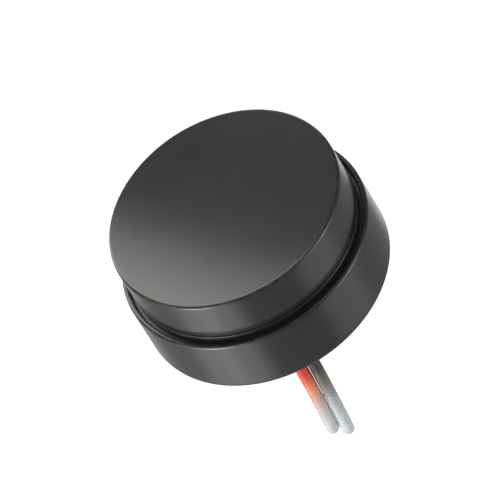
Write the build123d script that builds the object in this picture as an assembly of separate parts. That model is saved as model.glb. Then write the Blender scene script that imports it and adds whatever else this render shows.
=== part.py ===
from build123d import *
import math
import os

# A coin vibration motor: a shallow base cup, a smaller cap that plugs into it through a
# sealing sleeve, and between them a flat off-balance rotor that spins on a fixed shaft.
# Frame: z = 0 is the base's flat outer face, +Z runs up the shaft to the cap, and the two
# leads leave the base downwards on the -Y side. All sizes are millimetres.

# Case
base_radius = 4.00
base_height = 2.10
base_wall = 0.17
base_floor = 0.25
base_bottom_edge = 0.20  # radius of the rounded edge under the wall
base_inner_corner = 0.06
base_rim_edge = 0.09  # radius of the open rim's outer edge
base_rim_inner_edge = 0.05
motor_height = 3.78
cap_top = 0.20
cap_wall = 0.16
cap_edge = 0.09  # radius of the cap's upper edge
neck_step = 0.06  # how much the skirt is smaller than the band above it, in radius
neck_edge = 0.03
neck_reveal = 0.43  # from the base's rim up to the neck's step

# Sealing sleeve between the skirt and the base
seal_wall = 0.15
seal_flange = 0.20  # thickness of the flange that the skirt stands on
seal_shoulder = 1.68  # height of the thick part above the floor
seal_lip_wall = 0.04
seal_lip_edge = 0.03
seal_lip_rise = 0.15  # how far the lip shows above the base's rim
seal_corner = 0.08

# Shaft, bearing and washers
shaft_radius = 0.30
shaft_recess = 0.03  # the shaft's foot stays inside the base's outer face
shaft_bevel = 0.03
shaft_seat = 0.06  # depth of the locating recess under the cap
running_clearance = 0.02  # radial, bearing on shaft
bearing_wall = 0.38
end_play = 0.03  # axial, at each end of the bearing
hub_wall = 0.30
hub_height = 0.35
washer_thickness = 0.08
washer_bore_clearance = 0.01
washer_width = 0.24

# Brush circuit, brushes and magnet
circuit_thickness = 0.10
circuit_edge_gap = 0.10
hub_clearance = 0.05
magnet_inner_radius = 1.60
magnet_thickness = 0.70
magnet_lead_clearance = 0.18
magnet_bevel = 0.05
brush_width = 0.30
brush_thickness = 0.05
brush_clearance = 0.15  # from the bearing
brush_bore_gap = 0.10  # from the magnet's bore
brush_contact_gap = 0.01
brush_foot = 0.45
brush_tip = 0.25

# Rotor
rotor_gap = 0.20  # radial, rotor to skirt
rotor_headroom = 0.33
air_gap = 0.10  # from the magnet up to the commutator
commutator_thickness = 0.03
commutator_segments_count = 6
commutator_slot_angle = 10.0
commutator_margin = 0.10
board_thickness = 0.12
frame_web = 0.45
frame_sleeve_wall = 0.38
coil_height = 0.70
coil_bore_radius = 0.40
coil_edge = 0.10
coil_inner_margin = 0.05
coil_outer_margin = 0.15
coil_spread_angle = 60.0  # each coil's angle from the +Y axis
weight_wall_margin = 0.20  # from the frame's sleeve
weight_angle_margin = 17.0  # between a coil's flank and the weight
weight_edge = 0.10
board_edge_inset = 0.05
joint_window_radius = 0.50
joint_window_inset = 0.30
coil_joint_radius = 0.12
coil_joint_top_radius = 0.07
coil_joint_height = 0.14
coil_joint_spacing = 0.40

# Leads
lead_diameter = 0.40
lead_spacing = 0.01  # between the two jackets
lead_edge_margin = 0.075  # from the lead bush to the sleeve
bush_wall = 0.10
bush_recess = 0.03
core_radius = 0.08
red_length = 3.90  # below the base's outer face
black_length = 4.25
jacket_length = 2.20
tip_inset = 0.005  # the dipped end is this much smaller than the jacket, in radius
tip_rounding = 0.15
tip_core_cover = 0.20
lead_joint_height = 0.26
lead_joint_gap = 0.03
lead_joint_top_radius = 0.11

# Radii that follow
base_inner_radius = base_radius - base_wall
skirt_radius = base_inner_radius - seal_wall
skirt_inner_radius = skirt_radius - cap_wall
cap_radius = skirt_radius + neck_step
bearing_bore_radius = shaft_radius + running_clearance
bearing_radius = bearing_bore_radius + bearing_wall
hub_radius = shaft_radius + hub_wall
rotor_radius = skirt_inner_radius - rotor_gap
frame_sleeve_radius = bearing_radius + frame_sleeve_wall
lead_radius = lead_diameter / 2
lead_pitch = lead_diameter + lead_spacing
bush_radius = lead_radius + bush_wall
lead_ring_radius = skirt_inner_radius - lead_edge_margin - bush_radius
lead_joint_radius = lead_pitch / 2 - lead_joint_gap
magnet_outer_radius = lead_ring_radius - lead_joint_radius - magnet_lead_clearance
coil_near = frame_sleeve_radius + coil_inner_margin
coil_far = rotor_radius - coil_outer_margin
coil_radius = (coil_far - coil_near) / 2
coil_centre_radius = (coil_far + coil_near) / 2

# Heights that follow, from the floor up and from the cap down
floor_top = base_floor
circuit_top = floor_top + circuit_thickness
magnet_top = circuit_top + magnet_thickness
commutator_bottom = magnet_top + air_gap
board_bottom = commutator_bottom + commutator_thickness
board_top = board_bottom + board_thickness
coil_top = board_top + coil_height
hub_top = floor_top + hub_height
lower_washer_top = hub_top + washer_thickness
bearing_bottom = lower_washer_top + end_play
cap_ceiling = motor_height - cap_top
upper_washer_bottom = cap_ceiling - washer_thickness
bearing_top = upper_washer_bottom - end_play
rotor_top = cap_ceiling - rotor_headroom
skirt_bottom = floor_top + seal_flange
seal_shoulder_top = floor_top + seal_shoulder
seal_lip_top = base_height + seal_lip_rise
neck_height = base_height + neck_reveal

# Angles that follow; the counterweight is centred on -Y and the coils stand either side of +Y
coil_half_angle = math.degrees(math.asin(coil_radius / coil_centre_radius))
weight_half_angle = 180 - coil_spread_angle - coil_half_angle - weight_angle_margin
weight_radial_inner = frame_sleeve_radius + weight_wall_margin

bottom_centred = (Align.CENTER, Align.CENTER, Align.MIN)


def disc(radius, bottom, top):
    return Pos(0, 0, bottom) * Cylinder(radius, top - bottom, align=bottom_centred)


def ring(outer_radius, inner_radius, bottom, top):
    return disc(outer_radius, bottom, top) - disc(inner_radius, bottom, top)


def sector(outer_radius, inner_radius, bottom, top, middle_angle, half_angle):
    """A ring's slice, centred on middle_angle in degrees from +X."""
    start = middle_angle - half_angle
    profile = Pos((outer_radius + inner_radius) / 2, 0, (top + bottom) / 2) * Rot(90, 0, 0) * Rectangle(
        outer_radius - inner_radius, top - bottom
    )
    return Rot(0, 0, start) * revolve(profile, Axis.Z, 2 * half_angle)


def round_edges(shape, radius, height):
    """The full circles of one radius at one height."""
    near = 1e-4
    circles = shape.edges().filter_by(GeomType.CIRCLE)
    return [
        edge
        for edge in circles
        if abs(edge.radius - radius) < near and abs(edge.arc_center.Z - height) < near
    ]


def lead_places():
    """Where each lead stands: the red one at -X, the black one at +X."""
    return {
        "red": Pos(-lead_pitch / 2, -lead_ring_radius, 0),
        "black": Pos(lead_pitch / 2, -lead_ring_radius, 0),
    }


def lead_slot(radius, bottom, top):
    """A slot round both leads, with ends of the given radius."""
    outline = Pos(0, -lead_ring_radius, bottom) * SlotCenterToCenter(lead_pitch, 2 * radius)
    return extrude(outline, top - bottom)


# Case


def make_base_cup():
    cup = disc(base_radius, 0, base_height) - disc(base_inner_radius, floor_top, base_height)
    cup = fillet(round_edges(cup, base_radius, 0), base_bottom_edge)
    cup = fillet(round_edges(cup, base_inner_radius, floor_top), base_inner_corner)
    cup = fillet(round_edges(cup, base_radius, base_height), base_rim_edge)
    cup = fillet(round_edges(cup, base_inner_radius, base_height), base_rim_inner_edge)
    cup += disc(hub_radius, floor_top, hub_top)
    cup -= disc(shaft_radius, 0, hub_top)
    cup -= lead_slot(bush_radius, 0, floor_top)
    return cup


def make_cap():
    cap = disc(cap_radius, neck_height, motor_height) + disc(skirt_radius, skirt_bottom, neck_height)
    cap -= disc(skirt_inner_radius, skirt_bottom, cap_ceiling)
    cap = fillet(round_edges(cap, cap_radius, motor_height), cap_edge)
    cap = fillet(round_edges(cap, cap_radius, neck_height), neck_edge)
    cap -= disc(bearing_bore_radius, cap_ceiling, cap_ceiling + shaft_seat)
    return cap


def make_seal_sleeve():
    sleeve = ring(base_inner_radius, skirt_inner_radius, floor_top, skirt_bottom)
    sleeve += ring(base_inner_radius, skirt_radius, skirt_bottom, seal_shoulder_top)
    sleeve += ring(skirt_radius + seal_lip_wall, skirt_radius, seal_shoulder_top, seal_lip_top)
    sleeve = chamfer(round_edges(sleeve, base_inner_radius, floor_top), seal_corner)
    return fillet(round_edges(sleeve, skirt_radius + seal_lip_wall, seal_lip_top), seal_lip_edge)


# Shaft and washers


def make_shaft():
    shaft = disc(shaft_radius, shaft_recess, cap_ceiling + shaft_seat)
    return chamfer(round_edges(shaft, shaft_radius, cap_ceiling + shaft_seat), shaft_bevel)


def make_washer(bottom):
    bore = shaft_radius + washer_bore_clearance
    return ring(bore + washer_width, bore, bottom, bottom + washer_thickness)


# Brush circuit, brushes and magnet


def make_brush_circuit():
    circuit = ring(
        skirt_inner_radius - circuit_edge_gap, hub_radius + hub_clearance, floor_top, circuit_top
    )
    for place in lead_places().values():
        circuit -= place * disc(core_radius, floor_top, circuit_top)
    return circuit


def make_magnet_ring():
    magnet = ring(magnet_outer_radius, magnet_inner_radius, circuit_top, magnet_top)
    return chamfer(round_edges(magnet, magnet_outer_radius, magnet_top), magnet_bevel)


def make_brush(turn):
    """A leaf spring: a foot on the circuit, a rising arm and a flat tip under the commutator."""
    centre = bearing_radius + brush_clearance + brush_width / 2
    room = magnet_inner_radius - brush_bore_gap
    reach = math.sqrt(room**2 - (centre + brush_width / 2) ** 2)
    low = circuit_top
    high = commutator_bottom - brush_contact_gap - brush_thickness
    lower_side = [(-reach, low), (brush_foot - reach, low), (reach - brush_tip, high), (reach, high)]
    upper_side = [(along, height + brush_thickness) for along, height in reversed(lower_side)]
    outline = make_face(Polyline(*lower_side, *upper_side, close=True))
    leaf = Pos(0, centre, 0) * extrude(Plane.XZ * outline, brush_width / 2, both=True)
    return Rot(0, 0, turn) * leaf


# Rotor


def coil_places():
    angles = (90 - coil_spread_angle, 90 + coil_spread_angle)
    return [Rot(0, 0, angle) * Pos(coil_centre_radius, 0, 0) for angle in angles]


def make_coil(place):
    coil = ring(coil_radius, coil_bore_radius, board_top, coil_top)
    return place * fillet(round_edges(coil, coil_radius, coil_top), coil_edge)


def make_weight_blank():
    middle = -90
    return sector(rotor_radius, weight_radial_inner, board_top, rotor_top, middle, weight_half_angle)


def make_counterweight():
    weight = make_weight_blank()
    return fillet(weight.edges().group_by(Axis.Z)[-1], weight_edge)


def make_rotor_frame():
    frame = disc(rotor_radius, board_top, board_top + frame_web)
    frame += disc(frame_sleeve_radius, board_top, rotor_top)
    frame -= disc(bearing_radius, board_top, rotor_top)
    for place in coil_places():
        frame -= place * disc(coil_radius, board_top, coil_top)
    frame -= make_weight_blank()
    window_centre = rotor_radius - joint_window_inset - joint_window_radius
    frame -= Pos(0, window_centre, 0) * disc(joint_window_radius, board_top, board_top + frame_web)
    return frame


def make_rotor_bearing():
    return ring(bearing_radius, bearing_bore_radius, bearing_bottom, bearing_top)


def make_commutator_board():
    return ring(rotor_radius - board_edge_inset, bearing_radius, board_bottom, board_top)


def make_commutator_segments():
    pitch = 360 / commutator_segments_count
    half_angle = (pitch - commutator_slot_angle) / 2
    outer = magnet_inner_radius - commutator_margin
    inner = bearing_radius + commutator_margin
    return [
        sector(outer, inner, commutator_bottom, board_bottom, number * pitch, half_angle)
        for number in range(commutator_segments_count)
    ]


def make_solder_dome(bottom_radius, top_radius, bottom, height):
    """A solder blob: a cone whose top is rounded over half of its radius."""
    dome = Pos(0, 0, bottom) * Cone(bottom_radius, top_radius, height, align=bottom_centred)
    return fillet(round_edges(dome, top_radius, bottom + height), top_radius / 2)


def make_coil_joints():
    window_centre = rotor_radius - joint_window_inset - joint_window_radius
    half = coil_joint_spacing / 2
    dome = make_solder_dome(coil_joint_radius, coil_joint_top_radius, board_top, coil_joint_height)
    return [
        Pos(side * half, window_centre + row * half, 0) * dome
        for side in (-1, 1)
        for row in (-1, 1)
    ]


# Leads


def make_lead_bush():
    bush = lead_slot(bush_radius, bush_recess, floor_top)
    for place in lead_places().values():
        bush -= place * disc(lead_radius, bush_recess, floor_top)
    return bush


def make_jacket(place):
    return place * ring(lead_radius, core_radius, -jacket_length, floor_top)


def make_core(place, length):
    return place * disc(core_radius, tip_core_cover - length, circuit_top + lead_joint_height / 2)


def make_dipped_end(place, length):
    tip_radius = lead_radius - tip_inset
    tip = fillet(round_edges(disc(tip_radius, -length, -jacket_length), tip_radius, -length), tip_rounding)
    tip -= disc(core_radius, tip_core_cover - length, -jacket_length)
    return place * tip


def make_lead_joints():
    dome = make_solder_dome(lead_joint_radius, lead_joint_top_radius, circuit_top, lead_joint_height)
    dome -= disc(core_radius, circuit_top, circuit_top + lead_joint_height / 2)
    return [place * dome for place in lead_places().values()]


def make_nodes():
    """Every node's solids, by name."""
    leads = lead_places()
    coil_a_place, coil_b_place = coil_places()
    return {
        "base_cup": make_base_cup(),
        "cap": make_cap(),
        "seal_sleeve": make_seal_sleeve(),
        "shaft": make_shaft(),
        "lower_thrust_washer": make_washer(hub_top),
        "upper_thrust_washer": make_washer(upper_washer_bottom),
        "brush_circuit": make_brush_circuit(),
        "magnet_ring": make_magnet_ring(),
        "brush_a": make_brush(0),
        "brush_b": make_brush(180),
        "lead_bush": make_lead_bush(),
        "red_lead_jacket": make_jacket(leads["red"]),
        "black_lead_jacket": make_jacket(leads["black"]),
        "red_lead_core": make_core(leads["red"], red_length),
        "black_lead_core": make_core(leads["black"], black_length),
        "red_lead_dipped_end": make_dipped_end(leads["red"], red_length),
        "black_lead_dipped_end": make_dipped_end(leads["black"], black_length),
        "lead_solder_joints": make_lead_joints(),
        "rotor_bearing": make_rotor_bearing(),
        "rotor_frame": make_rotor_frame(),
        "counterweight": make_counterweight(),
        "coil_a": make_coil(coil_a_place),
        "coil_b": make_coil(coil_b_place),
        "commutator_board": make_commutator_board(),
        "commutator_segments": make_commutator_segments(),
        "coil_solder_joints": make_coil_joints(),
    }


os.makedirs("parts", exist_ok=True)
for name, made in make_nodes().items():
    pieces = made if isinstance(made, list) else made.solids()
    export_step(Compound(label=name, children=list(pieces)), f"parts/{name}.step")
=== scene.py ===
import math

import bpy
import numpy as np
from mathutils import Matrix, Vector


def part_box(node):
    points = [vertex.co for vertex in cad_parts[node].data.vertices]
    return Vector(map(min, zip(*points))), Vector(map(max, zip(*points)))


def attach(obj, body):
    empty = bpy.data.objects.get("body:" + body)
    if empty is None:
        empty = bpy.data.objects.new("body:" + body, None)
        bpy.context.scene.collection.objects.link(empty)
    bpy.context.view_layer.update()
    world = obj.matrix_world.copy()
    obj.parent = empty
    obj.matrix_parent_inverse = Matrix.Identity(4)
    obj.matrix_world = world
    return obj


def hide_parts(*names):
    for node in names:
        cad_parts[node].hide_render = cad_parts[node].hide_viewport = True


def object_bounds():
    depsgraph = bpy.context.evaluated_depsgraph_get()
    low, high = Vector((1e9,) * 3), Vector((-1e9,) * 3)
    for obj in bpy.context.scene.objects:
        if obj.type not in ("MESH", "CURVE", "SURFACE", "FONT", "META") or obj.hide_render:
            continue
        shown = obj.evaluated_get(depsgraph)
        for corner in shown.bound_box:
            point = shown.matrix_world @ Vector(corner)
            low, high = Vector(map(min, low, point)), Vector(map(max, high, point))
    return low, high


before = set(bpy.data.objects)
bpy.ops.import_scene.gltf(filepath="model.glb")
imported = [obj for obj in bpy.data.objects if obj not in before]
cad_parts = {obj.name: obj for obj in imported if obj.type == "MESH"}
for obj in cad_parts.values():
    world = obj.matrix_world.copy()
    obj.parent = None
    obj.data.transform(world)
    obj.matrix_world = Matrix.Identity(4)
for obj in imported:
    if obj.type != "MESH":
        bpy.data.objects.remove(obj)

mm = 0.001
frameLow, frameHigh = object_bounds()
print("motor loaded,", len(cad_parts), "nodes")


# half as wide as the node is along x
def radiusOf(node):
    low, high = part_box(node)
    return (high.x - low.x) / 2


def heightsOf(node):
    low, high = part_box(node)
    return low.z, high.z


# where the node's middle is, seen from above
def placeOf(node):
    low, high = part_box(node)
    return (low.x + high.x) / 2, (low.y + high.y) / 2


# camera, above the cap on the side that the leads leave, with the shaft leaning out of upright
cameraLook = dict(
    azimuth=6.4,  # degrees round the shaft from straight ahead
    elevation=46.2,
    roll=32.0,
    frameWidth=15.2 * mm,
    distance=260 * mm,
    aimRight=-0.58 * mm,  # from the base's centre, in the camera's own directions
    aimUp=0.94 * mm,
    sensorWidth=36,  # in millimetres, as a camera takes it
    nearest=10 * mm,
    furthest=10,
)
azimuth, elevation, roll = (math.radians(cameraLook[angle]) for angle in ("azimuth", "elevation", "roll"))
sideways = Vector((math.cos(azimuth), math.sin(azimuth), 0))
forwards = Vector((math.sin(azimuth), -math.cos(azimuth), 0))  # from the shaft towards the camera
backwards = forwards * math.cos(elevation) + Vector((0, 0, math.sin(elevation)))
upwards = backwards.cross(sideways)
cameraRight = sideways * math.cos(roll) - upwards * math.sin(roll)
cameraUp = sideways * math.sin(roll) + upwards * math.cos(roll)
aim = cameraRight * cameraLook["aimRight"] + cameraUp * cameraLook["aimUp"]

cameraData = bpy.data.cameras.new("camera")
cameraData.sensor_width = cameraLook["sensorWidth"]
cameraData.lens = cameraData.sensor_width * cameraLook["distance"] / cameraLook["frameWidth"]
cameraData.clip_start = cameraLook["nearest"]
cameraData.clip_end = cameraLook["furthest"]
camera = bpy.data.objects.new("camera", cameraData)
turn = Matrix((cameraRight, cameraUp, backwards)).transposed().to_4x4()
camera.matrix_world = Matrix.Translation(aim + backwards * cameraLook["distance"]) @ turn
bpy.context.scene.collection.objects.link(camera)
bpy.context.scene.camera = camera
bpy.context.scene.view_settings.view_transform = "Standard"
print("camera placed")


# meshes from grids of points


# four neighbours of the grid make a face; the grid closes round its second way, and along its first way
# it either closes too or ends in a pole at each end
def gridPiece(name, points, loop):
    rows, turns = points.shape[:2]
    index = np.arange(rows * turns).reshape(rows, turns)
    if loop:
        index = np.vstack([index, index[:1]])
        vertices = points.reshape(-1, 3)
    else:
        index = index[1:-1] - turns + 1  # a pole is one point, not a row of them
        vertices = np.vstack([points[:1, 0], points[1:-1].reshape(-1, 3), points[-1:, 0]])
    nextTurn = np.roll(index, -1, axis=1)
    quads = np.stack([index[:-1], index[1:], nextTurn[1:], nextTurn[:-1]], axis=-1).reshape(-1, 4)
    faces = quads.tolist()
    if not loop:
        last = len(vertices) - 1
        faces += [[0, a, b] for a, b in zip(index[0], nextTurn[0])]
        faces += [[last, b, a] for a, b in zip(index[-1], nextTurn[-1])]
    mesh = bpy.data.meshes.new(name)
    mesh.from_pydata(vertices.tolist(), [], faces)
    if signedVolume(mesh) < 0:
        mesh.flip_normals()
    return finishPiece(name, mesh)


# the sum over triangles of a . (b x c) / 6
def signedVolume(mesh):
    mesh.calc_loop_triangles()
    corners = np.zeros(len(mesh.loop_triangles) * 3, int)
    mesh.loop_triangles.foreach_get("vertices", corners)
    places = np.zeros(len(mesh.vertices) * 3)
    mesh.vertices.foreach_get("co", places)
    a, b, c = places.reshape(-1, 3)[corners.reshape(-1, 3)].transpose(1, 0, 2)
    return float(np.einsum("ij,ij->i", a, np.cross(b, c)).sum() / 6)


sharpAngle = math.radians(38)


def finishPiece(name, mesh):
    mesh.shade_smooth()
    mesh.set_sharp_from_angle(angle=sharpAngle)
    piece = bpy.data.objects.new(name, mesh)
    bpy.context.scene.collection.objects.link(piece)
    return piece


heldShare = 0.15  # of an arc's radius: how far off the points are that keep the flats beside it flat


# straight runs between corners, each corner an arc of its own radius, centre + start cos a + into radius
# sin a, with points no further apart than step
def roundedProfile(corners, radii, step, arcSteps=8):
    corners = np.array(corners, float)
    pieces = [corners[:1]]
    for before, corner, after, radius in zip(corners[:-2], corners[1:-1], corners[2:], radii):
        into = (corner - before) / np.linalg.norm(corner - before)
        outOf = (after - corner) / np.linalg.norm(after - corner)
        turning = math.acos(np.clip(into @ outOf, -1, 1))
        reach = radius * math.tan(turning / 2)
        side = outOf - into
        centre = corner + side / np.linalg.norm(side) * radius / math.cos(turning / 2)
        start = corner - into * reach - centre
        angle = np.linspace(0, turning, arcSteps + 1)[:, None]
        arc = centre + start * np.cos(angle) + into * radius * np.sin(angle)
        held = radius * heldShare
        pieces += [(arc[0] - into * held)[None], arc, (arc[-1] + outOf * held)[None]]
    pieces.append(corners[-1:])
    line = np.vstack(pieces)
    runs = []
    for a, b in zip(line[:-1], line[1:]):
        count = max(1, math.ceil(np.linalg.norm(b - a) / step))
        runs.append(a + (b - a) * np.arange(count)[:, None] / count)
    return np.vstack(runs + [line[-1:]])


# x = r cos a, y = r sin a, z = z: a profile of (r, z) points carried once round an upright axis
def turnedGrid(profile, turns, centre=(0, 0)):
    angle = np.linspace(0, 2 * np.pi, turns, endpoint=False)
    radius, height = profile[:, :1], profile[:, 1:]
    x = centre[0] + radius * np.cos(angle)
    y = centre[1] + radius * np.sin(angle)
    return np.stack([x, y, height + 0 * angle], axis=-1)


# one solid taken away from another, for holes that aren't round the axis
def cutAway(piece, cutters):
    for cutter in cutters:
        cut = piece.modifiers.new("cut", "BOOLEAN")
        cut.operation = "DIFFERENCE"
        cut.solver = "EXACT"
        cut.object = cutter
    bpy.context.view_layer.update()
    whole = bpy.data.meshes.new_from_object(piece.evaluated_get(bpy.context.evaluated_depsgraph_get()))
    piece.modifiers.clear()
    piece.data = whole
    whole.set_sharp_from_angle(angle=sharpAngle)
    for cutter in cutters:
        bpy.data.objects.remove(cutter)
    return piece


# gives a piece its material, the nodes that it stands for and its body
def settle(piece, body, slot, surface, *nodes):
    piece.data.materials.clear()
    piece.data.materials.append(surface)
    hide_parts(*nodes)
    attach(piece, body)
    return piece


# materials


# a new material, its nodes, its shader, and the place on the object in millimetres
def startMaterial(name):
    material = bpy.data.materials.new(name)
    material.use_nodes = True
    tree = material.node_tree
    shader = tree.nodes["Principled BSDF"]
    coordinates = tree.nodes.new("ShaderNodeTexCoord")
    inMillimetres = tree.nodes.new("ShaderNodeMapping")
    inMillimetres.inputs["Scale"].default_value = (1 / mm, 1 / mm, 1 / mm)
    tree.links.new(coordinates.outputs["Object"], inMillimetres.inputs["Vector"])
    return material, tree, shader, inMillimetres.outputs["Vector"]


def stretched(tree, place, scale):
    mapping = tree.nodes.new("ShaderNodeMapping")
    mapping.inputs["Scale"].default_value = scale
    tree.links.new(place, mapping.inputs["Vector"])
    return mapping.outputs["Vector"]


# grain is the size of its largest patches in millimetres
def noise(tree, place, grain, detail=3.0, roughness=0.55):
    node = tree.nodes.new("ShaderNodeTexNoise")
    node.inputs["Scale"].default_value = 1 / grain
    node.inputs["Detail"].default_value = detail
    node.inputs["Roughness"].default_value = roughness
    tree.links.new(place, node.inputs["Vector"])
    return node.outputs["Fac"]


# each value is a number or another node's output
def mathNode(tree, operation, *values):
    node = tree.nodes.new("ShaderNodeMath")
    node.operation = operation
    for socket, value in zip(node.inputs, values):
        if isinstance(value, bpy.types.NodeSocket):
            tree.links.new(value, socket)
        else:
            socket.default_value = value
    return node.outputs[0]


# eases from toLow to toHigh while the value goes from fromLow to fromHigh
def spread(tree, value, fromLow, fromHigh, toLow, toHigh):
    node = tree.nodes.new("ShaderNodeMapRange")
    node.interpolation_type = "SMOOTHSTEP"
    ends = {"From Min": fromLow, "From Max": fromHigh, "To Min": toLow, "To Max": toHigh}
    for label, number in ends.items():
        node.inputs[label].default_value = number
    tree.links.new(value, node.inputs["Value"])
    return node.outputs["Result"]


def colourRamp(tree, value, stops):
    node = tree.nodes.new("ShaderNodeValToRGB")
    ramp = node.color_ramp
    while len(ramp.elements) < len(stops):
        ramp.elements.new(0.5)
    for element, (position, colour) in zip(ramp.elements, stops):
        element.position = position
        element.color = (*colour, 1)
    tree.links.new(value, node.inputs["Fac"])
    return node.outputs["Color"]


def mixColour(tree, factor, first, second):
    node = tree.nodes.new("ShaderNodeMix")
    node.data_type = "RGBA"
    for socket, value in zip((node.inputs[0], node.inputs[6], node.inputs[7]), (factor, first, second)):
        if isinstance(value, bpy.types.NodeSocket):
            tree.links.new(value, socket)
        elif isinstance(value, tuple):
            socket.default_value = (*value, 1)
        else:
            socket.default_value = value
    return node.outputs[2]


# layers of height and depth, one on top of another
def bumps(tree, shader, layers):
    normal = None
    for height, depth in layers:
        node = tree.nodes.new("ShaderNodeBump")
        node.inputs["Distance"].default_value = depth
        tree.links.new(height, node.inputs["Height"])
        if normal:
            tree.links.new(normal, node.inputs["Normal"])
        normal = node.outputs["Normal"]
    tree.links.new(normal, shader.inputs["Normal"])


noiseLow, noiseHigh = 0.3, 0.7  # nearly all of a noise lies between these


# from the look's dark shade to its pale one as the noise rises
def twoShades(tree, grain, look):
    return colourRamp(tree, grain, [(noiseLow, look["dark"]), (noiseHigh, look["pale"])])


# from the look's first roughness to its second as the noise rises
def roughen(tree, shader, grain, look):
    tree.links.new(spread(tree, grain, noiseLow, noiseHigh, *look["roughness"]), shader.inputs["Roughness"])


# how far from the axis, and how high, in millimetres
def radiusAndHeight(tree, place):
    parts = tree.nodes.new("ShaderNodeSeparateXYZ")
    tree.links.new(place, parts.inputs["Vector"])
    squares = [mathNode(tree, "MULTIPLY", parts.outputs[k], parts.outputs[k]) for k in ("X", "Y")]
    return mathNode(tree, "SQRT", mathNode(tree, "ADD", *squares)), parts.outputs["Z"]


# 1 on a ring edge of the given radius and height, falling to 0 at reach from it
def nearEdge(tree, place, edge, reach):
    radius, height = radiusAndHeight(tree, place)
    across = mathNode(tree, "SUBTRACT", radius, edge[0] / mm)
    along = mathNode(tree, "SUBTRACT", height, edge[1] / mm)
    squares = [mathNode(tree, "MULTIPLY", v, v) for v in (across, along)]
    distance = mathNode(tree, "SQRT", mathNode(tree, "ADD", *squares))
    return spread(tree, distance, 0.0, reach / mm, 1.0, 0.0)


# satin black coating on drawn steel: warm black with faint clouds and specks, a fine orange peel, drawing
# lines round the wall, and edges where the metal starts to show in patches, paler there partly as a painted
# highlight
def satinBlack(name, look, edges):
    material, tree, shader, place = startMaterial(name)
    clouds = noise(tree, place, look["cloud"], 2.0)
    specks = spread(tree, noise(tree, place, look["speck"], 1.0), *look["speckFrom"], 0.0, look["speckShare"])
    colour = mixColour(tree, specks, twoShades(tree, clouds, look), look["speckColour"])
    wearAndHighlight = 0.0
    for edge in edges:
        near = nearEdge(tree, place, edge, look["wearAndHighlightReach"])
        wearAndHighlight = mathNode(tree, "MAXIMUM", wearAndHighlight, near)
    patches = noise(tree, place, look["wearAndHighlightPatch"], 4.0)
    patches = spread(tree, patches, *look["wearAndHighlightFrom"], look["leastWearAndHighlight"], 1.0)
    wearAndHighlight = mathNode(tree, "MULTIPLY", wearAndHighlight, patches)
    # the edges turn paler: worn coating, and partly a painted highlight along the edges
    colour = mixColour(tree, wearAndHighlight, colour, look["wearAndHighlightColour"])
    tree.links.new(colour, shader.inputs["Base Color"])
    tree.links.new(mathNode(tree, "MULTIPLY", wearAndHighlight, look["bareMetal"]), shader.inputs["Metallic"])
    roughen(tree, shader, clouds, look)
    shader.inputs["IOR"].default_value = look["ior"]
    peel = noise(tree, place, look["peel"], 2.0)
    lines = noise(tree, stretched(tree, place, look["lines"]), look["line"], 2.0)
    bumps(tree, shader, [(peel, look["peelDepth"]), (lines, look["lineDepth"])])
    return material


# black sealing rubber: dull, with a fine pimpled skin, and paler patches near the ring edges given, painted
# light that lightens the shaded groove
def sealRubber(name, look, paintedLightEdges=()):
    material, tree, shader, place = startMaterial(name)
    skin = noise(tree, place, look["skin"])
    colour = twoShades(tree, skin, look)
    for edge in paintedLightEdges:
        # paler near the edge: painted light in the shaded groove, in patches that follow the skin's noise
        paintedLightMask = nearEdge(tree, place, edge, look["paintedLightReach"])
        paintedLightMask = mathNode(tree, "MULTIPLY", paintedLightMask, spread(tree, skin, *look["paintedLightFrom"], look["leastPaintedLight"], 1.0))
        colour = mixColour(tree, paintedLightMask, colour, look["paintedLightColour"])
    tree.links.new(colour, shader.inputs["Base Color"])
    roughen(tree, shader, skin, look)
    bumps(tree, shader, [(skin, look["skinDepth"])])
    return material


leadGrain = dict(
    uneven=0.22,
    smudge=0.09,
    smudgeFrom=(0.45, 0.75),  # the stretch of the noise over which a smudge comes in
    line=0.02,
    lines=(1, 1, 0.08),  # how much finer the lines are along x, y and z
)


# a lead along -Z: a colour for each stretch of its length with the changes blurred and uneven, a skin of
# fine extrusion lines along it, and small smudges
def leadSkin(name, look, top, bottom):
    material, tree, shader, place = startMaterial(name)
    height = radiusAndHeight(tree, place)[1]
    uneven = mathNode(tree, "SUBTRACT", noise(tree, place, leadGrain["uneven"], 2.0), 0.5)
    height = mathNode(tree, "ADD", height, mathNode(tree, "MULTIPLY", uneven, look["uneven"] / mm))
    along = tree.nodes.new("ShaderNodeMapRange")
    along.inputs["From Min"].default_value = top / mm
    along.inputs["From Max"].default_value = bottom / mm
    tree.links.new(height, along.inputs["Value"])
    colour = colourRamp(tree, along.outputs["Result"], look["stops"])
    smudge = noise(tree, place, leadGrain["smudge"])
    smudge = spread(tree, smudge, *leadGrain["smudgeFrom"], 0.0, look["smudge"])
    colour = mixColour(tree, smudge, colour, look["smudgeColour"])
    tree.links.new(colour, shader.inputs["Base Color"])
    grain = noise(tree, stretched(tree, place, leadGrain["lines"]), leadGrain["line"], 2.0)
    roughen(tree, shader, grain, look)
    shader.inputs["Metallic"].default_value = look["metallic"]
    bumps(tree, shader, [(grain, look["grainDepth"])])
    return material


# metal: a base colour with clouds, fine lines one way, and roughness that follows them
def metal(name, look):
    material, tree, shader, place = startMaterial(name)
    clouds = noise(tree, place, look["cloud"])
    tree.links.new(twoShades(tree, clouds, look), shader.inputs["Base Color"])
    lines = noise(tree, stretched(tree, place, look["lines"]), look["line"])
    roughen(tree, shader, lines, look)
    shader.inputs["Metallic"].default_value = look.get("metallic", 1.0)
    bumps(tree, shader, [(lines, look["depth"])])
    return material


# base cup: floor, straight wall and open rim, turned round the shaft, with the slot for the leads cut through

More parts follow.
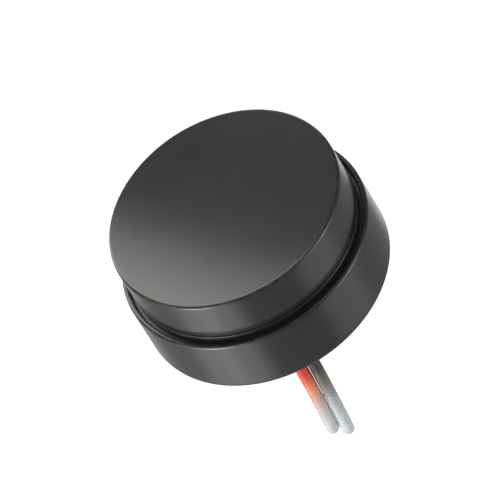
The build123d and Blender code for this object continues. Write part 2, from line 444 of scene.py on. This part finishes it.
baseRadius = radiusOf("base_cup")
baseHeight = heightsOf("base_cup")[1]
floorTop = heightsOf("seal_sleeve")[0]
baseInnerRadius = radiusOf("seal_sleeve")
hubTop = heightsOf("lower_thrust_washer")[0]
shaftRadius = radiusOf("shaft")
leadY = placeOf("red_lead_jacket")[1]
base = dict(
    bottomEdge=0.20 * mm,
    rimOuter=0.09 * mm,
    rimInner=0.05 * mm,
    innerCorner=0.06 * mm,
    hubRadius=0.60 * mm,
    hubEdge=0.03 * mm,
    smallCorner=0.012 * mm,
    cutBelow=0.10 * mm,  # how far the slot's cutter goes past the floor's two faces
    cutAbove=0.05 * mm,
    turns=288,
    step=0.3 * mm,
)


# its outline of radii and heights, from the hub's bore round by the wall and back, carried round the shaft:
# x = r cos a, y = r sin a; then the slot is taken away
def makeBaseShell():
    corners = [
        (shaftRadius, floorTop / 2),
        (shaftRadius, 0),
        (baseRadius, 0),
        (baseRadius, baseHeight),
        (baseInnerRadius, baseHeight),
        (baseInnerRadius, floorTop),
        (base["hubRadius"], floorTop),
        (base["hubRadius"], hubTop),
        (shaftRadius, hubTop),
        (shaftRadius, floorTop / 2),
    ]
    corner = base["smallCorner"]
    radii = [
        corner, base["bottomEdge"], base["rimOuter"], base["rimInner"], base["innerCorner"],
        corner, base["hubEdge"], corner,
    ]
    profile = roundedProfile(corners, radii, base["step"])[:-1]
    shell = gridPiece("baseShell", turnedGrid(profile, base["turns"]), loop=True)
    return cutAway(shell, [slotSolid("slotCutter", -base["cutBelow"], floorTop + base["cutAbove"])])


slotTurns = 96


# a slot round both leads, as tall as asked: x = radius cos a, moved out by half to its own side, and
# y = radius sin a, which is two half circles joined by straight sides
def slotSolid(name, bottom, top):
    low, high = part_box("lead_bush")
    radius = (high.y - low.y) / 2
    half = (high.x - low.x) / 2 - radius
    angle = np.linspace(0, 2 * np.pi, slotTurns, endpoint=False)
    x = radius * np.cos(angle) + np.where(np.cos(angle) > 0, half, -half)
    y = leadY + radius * np.sin(angle)
    rows = [
        np.stack([x * size, leadY + (y - leadY) * size, 0 * x + height], -1)
        for size, height in ((0, bottom), (1, bottom), (1, top), (0, top))
    ]
    return gridPiece(name, np.stack(rows), loop=False)


coating = dict(
    dark=(0.0150, 0.0144, 0.0134),
    pale=(0.0178, 0.0170, 0.0159),
    cloud=1.1,
    speckColour=(0.028, 0.027, 0.0255),
    speck=0.02,
    speckFrom=(0.62, 0.72),  # the stretch of the noise over which a speck comes in
    speckShare=0.25,
    # paler than the coating: worn metal, and partly a painted highlight on the edges
    wearAndHighlightColour=(0.10, 0.097, 0.09),
    wearAndHighlightReach=0.09 * mm,
    wearAndHighlightPatch=0.25,
    wearAndHighlightFrom=(0.40, 0.66),
    leastWearAndHighlight=0.15,
    bareMetal=0.6,  # how far the metal shows through where the coating is worn
    roughness=(0.282, 0.295),
    ior=1.5,
    peel=0.09,
    peelDepth=0.12e-6,
    line=0.7,
    lines=(0.15, 0.15, 14),  # how much finer the lines are along x, y and z
    lineDepth=0.35e-6,
)

baseCoating = satinBlack("baseCoating", coating, [(baseRadius, baseHeight), (baseInnerRadius, baseHeight)])
settle(makeBaseShell(), "root", "blackened_steel", baseCoating, "base_cup")
print("base cup made")


# cap: flat face, fine rounded edge, a band, then a slightly narrower skirt that goes down inside the base

capRadius = radiusOf("cap")
skirtBottom, capTop = heightsOf("cap")
capCeiling = heightsOf("upper_thrust_washer")[1]
seatTop = heightsOf("shaft")[1]
cap = dict(
    wall=0.16 * mm,
    edge=0.09 * mm,
    neckStep=0.06 * mm,
    neckEdge=0.03 * mm,
    neckReveal=0.43 * mm,  # from the base's rim up to the step
    seatRadius=0.32 * mm,
    smallCorner=0.02 * mm,
    turns=288,
    step=0.3 * mm,
)
skirtRadius = capRadius - cap["neckStep"]
neckHeight = baseHeight + cap["neckReveal"]


# its outline of radii and heights, from the face's middle over the edge, down the skirt and back inside to
# the shaft's seat, carried round the shaft: x = r cos a, y = r sin a
def makeCapShell():
    skirtInner = skirtRadius - cap["wall"]
    corners = [
        (0, capTop),
        (capRadius, capTop),
        (capRadius, neckHeight),
        (skirtRadius, neckHeight),
        (skirtRadius, skirtBottom),
        (skirtInner, skirtBottom),
        (skirtInner, capCeiling),
        (cap["seatRadius"], capCeiling),
        (cap["seatRadius"], seatTop),
        (0, seatTop),
    ]
    small = cap["smallCorner"]
    radii = [cap["edge"], cap["neckEdge"], small, small, small, cap["edge"], small / 2, small / 2]
    profile = roundedProfile(corners, radii, cap["step"])
    return gridPiece("capShell", turnedGrid(profile, cap["turns"]), loop=False)


capCoating = satinBlack("capCoating", coating, [(capRadius, capTop), (capRadius, neckHeight)])
settle(makeCapShell(), "root", "blackened_steel_cap", capCoating, "cap")
print("cap made")


# sealing sleeve: a flange under the skirt, a thick shoulder against the base, and a thin lip round the neck

sealTop = heightsOf("seal_sleeve")[1]
seal = dict(
    shoulder=1.68 * mm,  # above the floor
    lipWall=0.04 * mm,
    lipEdge=0.03 * mm,
    footCorner=0.08 * mm,
    softCorner=0.024 * mm,
    tightCorner=0.008 * mm,
    turns=288,
    step=0.3 * mm,
)


# its outline of radii and heights, up outside by the shoulder and lip and down inside by the flange, carried
# round the shaft: x = r cos a, y = r sin a
def makeSealRing():
    lipRadius = skirtRadius + seal["lipWall"]
    shoulderTop = floorTop + seal["shoulder"]
    flangeInner = skirtRadius - cap["wall"]
    middle = (flangeInner + baseInnerRadius) / 2
    corners = [
        (middle, floorTop),
        (baseInnerRadius, floorTop),
        (baseInnerRadius, shoulderTop),
        (lipRadius, shoulderTop),
        (lipRadius, sealTop),
        (skirtRadius, sealTop),
        (skirtRadius, skirtBottom),
        (flangeInner, skirtBottom),
        (flangeInner, floorTop),
        (middle, floorTop),
    ]
    soft, tight = seal["softCorner"], seal["tightCorner"]
    radii = [seal["footCorner"], soft, tight, seal["lipEdge"], tight, tight, soft, soft]
    profile = roundedProfile(corners, radii, seal["step"])[:-1]
    return gridPiece("sealRing", turnedGrid(profile, seal["turns"]), loop=True)


# the paler colour by the groove is painted light in its shade
rubberLook = dict(
    dark=(0.016, 0.0155, 0.0149), pale=(0.022, 0.0213, 0.0204), skin=0.03, skinDepth=0.3e-6,
    roughness=(0.36, 0.44), paintedLightColour=(0.11, 0.107, 0.10), paintedLightReach=0.16 * mm, paintedLightFrom=(0.25, 0.6),
    leastPaintedLight=0.6,
)
groove = ((skirtRadius + baseInnerRadius) / 2, floorTop + seal["shoulder"])  # between the skirt and the base
blackSeal = sealRubber("blackSeal", rubberLook, [groove])
settle(makeSealRing(), "root", "black_seal", blackSeal, "seal_sleeve")
print("sealing sleeve made")


# leads: a jacket as far as the stripped end, and a solder-dipped end that shows the twisted strands a little

lead = dict(
    boreRadius=0.08 * mm,
    jacketEdge=0.012 * mm,
    jacketSwell=-0.003 * mm,  # how much fuller than its node a jacket is below the base
    endSwell=0.006 * mm,  # the dipped ends just touch each other
    jacketWave=0.002 * mm,  # how much a jacket's radius wanders
    waves=((0.23 * mm, 1, 0.6), (0.61 * mm, 2, 0.4)),  # length, times the phase, share
    trueDepth=0.4 * mm,  # how far below the base a jacket comes to wander in full
    lean=0.20 * mm,  # how far the leads lean towards the red side at the longer one's tip
    leanPower=1.3,
    strands=7,
    strandTurns=2.2,  # twist over a stranded end's length
    strandRidge=0.003 * mm,
    lumps=dict(height=0.4, around=3, twist=9, along=5),  # the height is a share of a ridge's
    fade=0.25,  # the share of the length over which the ridges die away to the tip
    tipRounding=0.15 * mm,
    coreRidge=0.016 * mm,
    coreTipRounding=0.02 * mm,
    turns=72,
    step=0.04 * mm,
)


# moves points sideways to a lead's own place, less lean * (depth / longest) ^ leanPower in x below the base
def leaning(points, node):
    longest = -heightsOf("black_lead_dipped_end")[0]
    depth = np.clip(-points[..., 2], 0, None) / longest
    points[..., :2] += placeOf(node)
    points[..., 0] -= lead["lean"] * depth ** lead["leanPower"]
    return points


# the turned jacket, its outside radius plus swell and wave * the sum of share * sin(height / length + phase)
def makeJacket(name, node, phase):
    low, high = heightsOf(node)
    radius = radiusOf(node)
    middle = (lead["boreRadius"] + radius) / 2
    corners = [
        (middle, high), (radius, high), (radius, low), (lead["boreRadius"], low),
        (lead["boreRadius"], high), (middle, high),
    ]
    edge = lead["jacketEdge"]
    profile = roundedProfile(corners, [edge / 2, edge, edge / 4, edge / 4], lead["step"], arcSteps=6)[:-1]
    points = turnedGrid(profile, lead["turns"])
    height, outside = points[..., 2], np.hypot(points[..., 0], points[..., 1]) > middle
    below = np.clip(-height / lead["trueDepth"], 0, 1)  # the jacket is true where it sits in the bush
    wander = sum(np.sin(height / length + times * phase) * share for length, times, share in lead["waves"])
    scale = 1 + outside * below * (wander * lead["jacketWave"] + lead["jacketSwell"]) / radius
    points[..., :2] *= scale[..., None]
    return gridPiece(name, leaning(points, node), loop=True)


# a stranded end: radius + swell - ridge height * (1/2 - 1/2 cos(strands * angle + twist * depth) + lumps);
# the cosine fades to the tip, and the lumps are a sine round and down the end times a sine down it
def makeStrandedEnd(name, node, phase, tipRounding, ridgeHeight, swell=0.0):
    low, high = heightsOf(node)
    radius = radiusOf(node)
    corners = [(0, high), (radius, high), (radius, low), (0, low)]
    profile = roundedProfile(corners, [lead["jacketEdge"] / 2, tipRounding], lead["step"], arcSteps=10)
    points = turnedGrid(profile, lead["turns"])
    angle = np.arctan2(points[..., 1], points[..., 0])
    share = (high - points[..., 2]) / (high - low)
    ridge = np.cos(lead["strands"] * angle + 2 * np.pi * lead["strandTurns"] * share + phase)
    shape = lead["lumps"]
    lumps = np.sin(shape["around"] * angle + shape["twist"] * share + phase)
    lumps *= np.sin(shape["along"] * share * np.pi + phase)
    fade = np.clip((1 - share) / lead["fade"], 0, 1)
    around = np.hypot(points[..., 0], points[..., 1]) / radius
    scale = 1 + around * (swell - ridgeHeight * (0.5 - 0.5 * ridge * fade + shape["height"] * lumps)) / radius
    points[..., :2] *= scale[..., None]
    return gridPiece(name, leaning(points, node), loop=False)


jacketTop, jacketBottom = 0.0, heightsOf("red_lead_jacket")[0]
copperLook = dict(
    dark=(0.72, 0.33, 0.19), pale=(0.86, 0.46, 0.30), cloud=0.2, lines=(1, 1, 0.05), line=0.03,
    roughness=(0.18, 0.34), depth=0.5e-6,
)
copper = metal("copper", copperLook)
for colour, phase in (("red", 0.0), ("black", 1.1)):
    node = f"{colour}_lead_core"
    core = makeStrandedEnd(f"{colour}Core", node, phase, lead["coreTipRounding"], lead["coreRidge"])
    settle(core, "root", "copper_core", copper, node)
redLook = dict(
    stops=[
        (0.0, (0.53, 0.024, 0.011)), (0.42, (0.55, 0.031, 0.015)), (0.51, (0.61, 0.071, 0.034)),
        (0.62, (0.66, 0.136, 0.067)), (0.73, (0.64, 0.205, 0.116)), (0.86, (0.59, 0.285, 0.187)),
        (1.0, (0.54, 0.335, 0.275)),
    ],
    uneven=0.08 * mm, smudge=0.06, smudgeColour=(0.35, 0.16, 0.13), roughness=(0.4, 0.5),
    metallic=0.0, grainDepth=0.3e-6,
)
blackLook = dict(
    stops=[
        (0.0, (0.015, 0.015, 0.014)), (0.42, (0.030, 0.030, 0.028)), (0.60, (0.105, 0.092, 0.086)),
        (0.75, (0.145, 0.135, 0.127)), (0.89, (0.22, 0.215, 0.22)), (1.0, (0.28, 0.28, 0.288)),
    ],
    uneven=0.08 * mm, smudge=0.06, smudgeColour=(0.06, 0.06, 0.06), roughness=(0.4, 0.5),
    metallic=0.0, grainDepth=0.3e-6,
)
redJacketSkin = leadSkin("redJacketSkin", redLook, jacketTop, jacketBottom)
blackJacketSkin = leadSkin("blackJacketSkin", blackLook, jacketTop, jacketBottom)
for colour, skin, phase in (("red", redJacketSkin, 0.4), ("black", blackJacketSkin, 2.1)):
    node = f"{colour}_lead_jacket"
    settle(makeJacket(f"{colour}Jacket", node, phase), "root", f"{colour}_jacket", skin, node)

tinnedRedLook = dict(
    stops=[
        (0.0, (0.54, 0.35, 0.30)), (0.12, (0.53, 0.39, 0.37)), (0.29, (0.50, 0.465, 0.435)),
        (0.45, (0.48, 0.485, 0.475)), (0.61, (0.49, 0.51, 0.54)), (1.0, (0.485, 0.515, 0.55)),
    ],
    uneven=0.10 * mm, smudge=0.10, smudgeColour=(0.46, 0.46, 0.46), roughness=(0.42, 0.54),
    metallic=0.12, grainDepth=0.3e-6,
)
tinnedBlackLook = dict(
    stops=[
        (0.0, (0.295, 0.30, 0.32)), (0.18, (0.385, 0.385, 0.425)), (0.34, (0.41, 0.45, 0.485)),
        (0.5, (0.475, 0.52, 0.55)), (0.8, (0.51, 0.555, 0.60)), (1.0, (0.525, 0.57, 0.615)),
    ],
    uneven=0.10 * mm, smudge=0.10, smudgeColour=(0.42, 0.44, 0.46), roughness=(0.42, 0.54),
    metallic=0.12, grainDepth=0.3e-6,
)
redTinned = leadSkin("redTinned", tinnedRedLook, *reversed(heightsOf("red_lead_dipped_end")))
blackTinned = leadSkin("blackTinned", tinnedBlackLook, *reversed(heightsOf("black_lead_dipped_end")))
for colour, tinned, phase in (("red", redTinned, 0.3), ("black", blackTinned, 1.7)):
    node = f"{colour}_lead_dipped_end"
    rounding, ridge, swell = lead["tipRounding"], lead["strandRidge"], lead["endSwell"]
    end = makeStrandedEnd(f"{colour}DippedEnd", node, phase, rounding, ridge, swell)
    settle(end, "root", "tinned_end", tinned, node)
print("leads made")


# shaft: its foot stands a little inside the base's outer face

shaft = dict(footEdge=0.02 * mm, headBevel=0.03 * mm, turns=96, step=0.2 * mm)


# its outline of radii and heights carried round its own axis: x = r cos a, y = r sin a
def makeShaft():
    low, high = heightsOf("shaft")
    corners = [(0, low), (shaftRadius, low), (shaftRadius, high), (0, high)]
    profile = roundedProfile(corners, [shaft["footEdge"], shaft["headBevel"]], shaft["step"])
    return gridPiece("shaftPin", turnedGrid(profile, shaft["turns"]), loop=False)


shaftLook = dict(
    dark=(0.50, 0.50, 0.51), pale=(0.60, 0.60, 0.60), cloud=0.4, lines=(0.3, 0.3, 12), line=0.5,
    roughness=(0.12, 0.26), depth=0.3e-6,
)
settle(makeShaft(), "root", "shaft_steel", metal("shaftSteel", shaftLook), "shaft")


# lead bush: fills the slot round the leads, with a hole for each
bush = dict(cutMargin=0.1 * mm)  # how far a hole's cutter goes past each of its faces


# the slot's own solid less an upright cylinder for each lead, x = r cos a, y = r sin a from the lead's place
def makeBush():
    low, high = heightsOf("lead_bush")
    bottom, top = low - bush["cutMargin"], high + bush["cutMargin"]
    body = slotSolid("leadBush", low, high)
    holes = []
    for node in ("red_lead_jacket", "black_lead_jacket"):
        radius = radiusOf(node)
        corners = [(0, bottom), (radius, bottom), (radius, top), (0, top)]
        grid = turnedGrid(np.array(corners), lead["turns"], placeOf(node))
        holes.append(gridPiece(f"{node}Cutter", grid, loop=False))
    return cutAway(body, holes)


bushLook = dict(
    dark=(0.012, 0.012, 0.013), pale=(0.028, 0.027, 0.026), skin=0.09, skinDepth=2e-6, roughness=(0.28, 0.5),
)
settle(makeBush(), "root", "black_seal", sealRubber("bushResin", bushLook), "lead_bush")
print("shaft and lead bush made")


# coils: turns of fine wire side by side, so each face is ribbed by one wire's width

coil = dict(bore=0.40 * mm, wire=0.05 * mm, rib=0.011 * mm, edge=0.05 * mm, turns=120, step=0.006 * mm)


# a turned rounded rectangle, its outline pushed in by rib * sin ^ 2 (pi * distance along it / wire)
def makeCoil(name, node):
    low, high = heightsOf(node)
    radius = radiusOf(node)
    bore = coil["bore"]
    middle = (bore + radius) / 2
    corners = [(middle, low), (radius, low), (radius, high), (bore, high), (bore, low), (middle, low)]
    profile = roundedProfile(corners, [coil["edge"]] * 4, coil["step"])
    along = np.diff(profile, axis=0)
    distance = np.concatenate([[0], np.cumsum(np.hypot(*along.T))])
    across = np.gradient(profile, axis=0)[:, ::-1] * (-1, 1)
    across /= np.hypot(*across.T)[:, None]
    wires = round(distance[-1] / coil["wire"])  # a whole number, so that the outline closes
    ribs = coil["rib"] * np.sin(np.pi * distance / distance[-1] * wires) ** 2
    profile = (profile + across * ribs[:, None])[:-1]
    return gridPiece(name, turnedGrid(profile, coil["turns"], placeOf(node)), loop=True)


enamelLook = dict(
    dark=(0.50, 0.13, 0.045), pale=(0.66, 0.22, 0.08), cloud=0.3, lines=(1, 1, 6), line=0.06,
    roughness=(0.2, 0.36), depth=0.4e-6, metallic=0.8,
)
enamelledWire = metal("enamelledWire", enamelLook)
for node in ("coil_a", "coil_b"):
    settle(makeCoil(node.replace("_", "") + "Winding", node), "rotor", "coil_wire", enamelledWire, node)
print("coils made")


# inner parts that keep their own shape and take a finish


# moulded or laminated stock: two close shades in a grain, and a fine bump
def plainStock(name, look):
    material, tree, shader, place = startMaterial(name)
    grain = noise(tree, stretched(tree, place, look.get("weave", (1, 1, 1))), look["grain"], 4.0)
    tree.links.new(twoShades(tree, grain, look), shader.inputs["Base Color"])
    roughen(tree, shader, grain, look)
    bumps(tree, shader, [(grain, look["depth"])])
    return material


stocks = dict(
    washerPlastic=dict(
        dark=(0.62, 0.58, 0.48), pale=(0.72, 0.69, 0.60), grain=0.08, roughness=(0.4, 0.55), depth=1e-6,
    ),
    circuitFilm=dict(
        dark=(0.30, 0.13, 0.02), pale=(0.40, 0.19, 0.035), grain=0.3, roughness=(0.2, 0.3), depth=0.6e-6,
    ),
    frameResin=dict(
        dark=(0.020, 0.020, 0.021), pale=(0.034, 0.033, 0.032), grain=0.06, roughness=(0.42, 0.6), depth=2e-6,
    ),
    boardLaminate=dict(
        dark=(0.015, 0.085, 0.03), pale=(0.03, 0.13, 0.05), grain=0.12, weave=(3, 0.6, 1),
        roughness=(0.3, 0.42), depth=1e-6,
    ),
)
innerMetals = dict(
    magnetPlating=dict(
        dark=(0.42, 0.41, 0.39), pale=(0.53, 0.52, 0.50), cloud=0.5, lines=(1, 1, 1), line=0.05,
        roughness=(0.24, 0.4), depth=1e-6,
    ),
    brushAlloy=dict(
        dark=(0.70, 0.52, 0.25), pale=(0.80, 0.63, 0.34), cloud=0.2, lines=(0.4, 9, 1), line=0.1,
        roughness=(0.18, 0.3), depth=0.4e-6,
    ),
    bearingBronze=dict(
        dark=(0.36, 0.22, 0.09), pale=(0.52, 0.34, 0.15), cloud=0.12, lines=(1, 1, 1), line=0.03,
        roughness=(0.34, 0.55), depth=2e-6,
    ),
    sinteredTungsten=dict(
        dark=(0.20, 0.20, 0.21), pale=(0.31, 0.31, 0.32), cloud=0.2, lines=(1, 1, 1), line=0.035,
        roughness=(0.36, 0.55), depth=2e-6,
    ),
    goldPlate=dict(
        dark=(0.83, 0.58, 0.22), pale=(0.92, 0.69, 0.32), cloud=0.3, lines=(6, 1, 1), line=0.2,
        roughness=(0.16, 0.28), depth=0.4e-6,
    ),
    solder=dict(
        dark=(0.46, 0.47, 0.49), pale=(0.62, 0.63, 0.65), cloud=0.1, lines=(1, 1, 1), line=0.06,
        roughness=(0.2, 0.4), depth=1.5e-6,
    ),
)
finishes = {name: plainStock(name, look) for name, look in stocks.items()}
finishes |= {name: metal(name, look) for name, look in innerMetals.items()}
finishOf = dict(
    lower_thrust_washer="washerPlastic",
    upper_thrust_washer="washerPlastic",
    brush_circuit="circuitFilm",
    magnet_ring="magnetPlating",
    brush_a="brushAlloy",
    brush_b="brushAlloy",
    lead_solder_joints="solder",
    rotor_bearing="bearingBronze",
    rotor_frame="frameResin",
    counterweight="sinteredTungsten",
    commutator_board="boardLaminate",
    commutator_segments="goldPlate",
    coil_solder_joints="solder",
)
for node, finish in finishOf.items():
    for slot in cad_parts[node].material_slots:
        slot.material = finishes[finish]
print("inner parts finished")


# light and floor: tall strips round the motor make the bands down its wall, small bright boxes just below the
# cap's face pick out its edges, and cards above and behind, off to a side, show in part of the cap

lampColour = (1.0, 0.985, 0.955)
strips = dict(lift=-5, width=8 * mm, height=70 * mm)  # lift is degrees above level
boxes = dict(lift=-13, width=12 * mm, height=13 * mm)
lampDistance = 32 * mm
lamps = [
    # shape, degrees round from the camera, brightness
    (strips, -44, 1.6),
    (strips, -56, 0.35),
    (strips, -62, 1.05),
    (strips, -68, 1.15),
    (strips, -84, 1.2),
    (strips, -150, 0.45),
    (strips, -170, 0.25),
    (strips, 34, 0.8),
    (strips, 48, 0.55),
    (strips, 55, 0.2),
    (strips, 62, 0.5),
    (strips, 150, 1.1),
    (strips, 170, 2.2),
    (boxes, -60, 14),
    (boxes, 50, 4.5),
    (boxes, 64, 3),
]
underLight = dict(distance=25 * mm, width=90 * mm, brightness=0.24)  # light thrown up by the pale floor
cards = dict(
    turn=32.0,  # degrees from the left towards the camera
    width=4 * mm,
    length=26 * mm,
    places=[
        # offset from over the cap's centre, distance, brightness
        (4.0 * mm, 9 * mm, 3.1),
        (5.5 * mm, 9 * mm, 2.3),
    ],
)
surroundings = dict(
    strength=0.19,
    colour=(1.0, 0.965, 0.925),
    floorDrop=400 * mm,
    floorSize=3.0,
    floorColour=(0.8, 0.8, 0.8),
    floorRoughness=0.9,
    floorGlow=1.0,
)


# an area light facing along minus the direction given, its width along the side given;
# its energy is brightness * pi * area
def makeLight(name, place, direction, side, width, length, brightness):
    data = bpy.data.lights.new(name, "AREA")
    data.shape = "RECTANGLE"
    data.size, data.size_y = width, length
    data.energy = brightness * math.pi * width * length
    data.color = lampColour
    side = (side - direction * side.dot(direction)).normalized()
    turned = Matrix((side, direction.cross(side), direction)).transposed().to_4x4()
    lamp = bpy.data.objects.new(name, data)
    lamp.matrix_world = Matrix.Translation(place) @ turned
    lamp.visible_camera = False
    bpy.context.scene.collection.objects.link(lamp)


rimMiddle = Vector((0, 0, baseHeight))
for number, (shape, around, brightness) in enumerate(lamps):
    around, lift = math.radians(around), math.radians(shape["lift"])
    level = sideways * math.sin(around) + forwards * math.cos(around)
    direction = level * math.cos(lift) + Vector((0, 0, math.sin(lift)))
    across = sideways * math.cos(around) - forwards * math.sin(around)
    place = rimMiddle + direction * lampDistance
    makeLight(f"lamp{number}", place, direction, across, shape["width"], shape["height"], brightness)

down = Vector((0, 0, -1))
width = underLight["width"]
makeLight("underLight", down * underLight["distance"], down, sideways, width, width, underLight["brightness"])

cardTurn = math.radians(cards["turn"])
mirrored = Vector((0, 0, 2 * backwards.z)) - backwards  # where the cap's face sends the line of sight
outwards = forwards * math.sin(cardTurn) - sideways * math.cos(cardTurn)
along = forwards * math.cos(cardTurn) + sideways * math.sin(cardTurn)
for number, (offset, distance, brightness) in enumerate(cards["places"]):
    place = Vector((0, 0, capTop)) + outwards * offset + mirrored * distance
    makeLight(f"card{number}", place, mirrored, along, cards["length"], cards["width"], brightness)

# the world is dim for the motor and white behind it
world = bpy.data.worlds.new("studio")
world.use_nodes = True
tree = world.node_tree
dim = tree.nodes["Background"]
dim.inputs["Color"].default_value = (*surroundings["colour"], 1)
dim.inputs["Strength"].default_value = surroundings["strength"]
white = tree.nodes.new("ShaderNodeBackground")
white.inputs["Color"].default_value = (1, 1, 1, 1)
rays = tree.nodes.new("ShaderNodeLightPath")
either = tree.nodes.new("ShaderNodeMixShader")
tree.links.new(rays.outputs["Is Camera Ray"], either.inputs[0])
tree.links.new(dim.outputs[0], either.inputs[1])
tree.links.new(white.outputs[0], either.inputs[2])
tree.links.new(either.outputs[0], tree.nodes["World Output"].inputs["Surface"])
bpy.context.scene.world = world

floorHeight = frameLow.z - surroundings["floorDrop"]
half = surroundings["floorSize"] / 2
floorMesh = bpy.data.meshes.new("floor")
floorMesh.from_pydata(
    [(x * half, y * half, floorHeight) for x, y in ((-1, -1), (1, -1), (1, 1), (-1, 1))],
    [],
    [(0, 1, 2, 3)],
)
floor = bpy.data.objects.new("floor", floorMesh)
floor.visible_glossy = floor.visible_diffuse = False
bpy.context.scene.collection.objects.link(floor)
floorMaterial = bpy.data.materials.new("paleFloor")
floorMaterial.use_nodes = True
floorShader = floorMaterial.node_tree.nodes["Principled BSDF"]
floorShader.inputs["Base Color"].default_value = (*surroundings["floorColour"], 1)
floorShader.inputs["Roughness"].default_value = surroundings["floorRoughness"]
floorShader.inputs["Emission Color"].default_value = (1, 1, 1, 1)
floorShader.inputs["Emission Strength"].default_value = surroundings["floorGlow"]
floorMesh.materials.append(floorMaterial)
print("lights and floor placed")
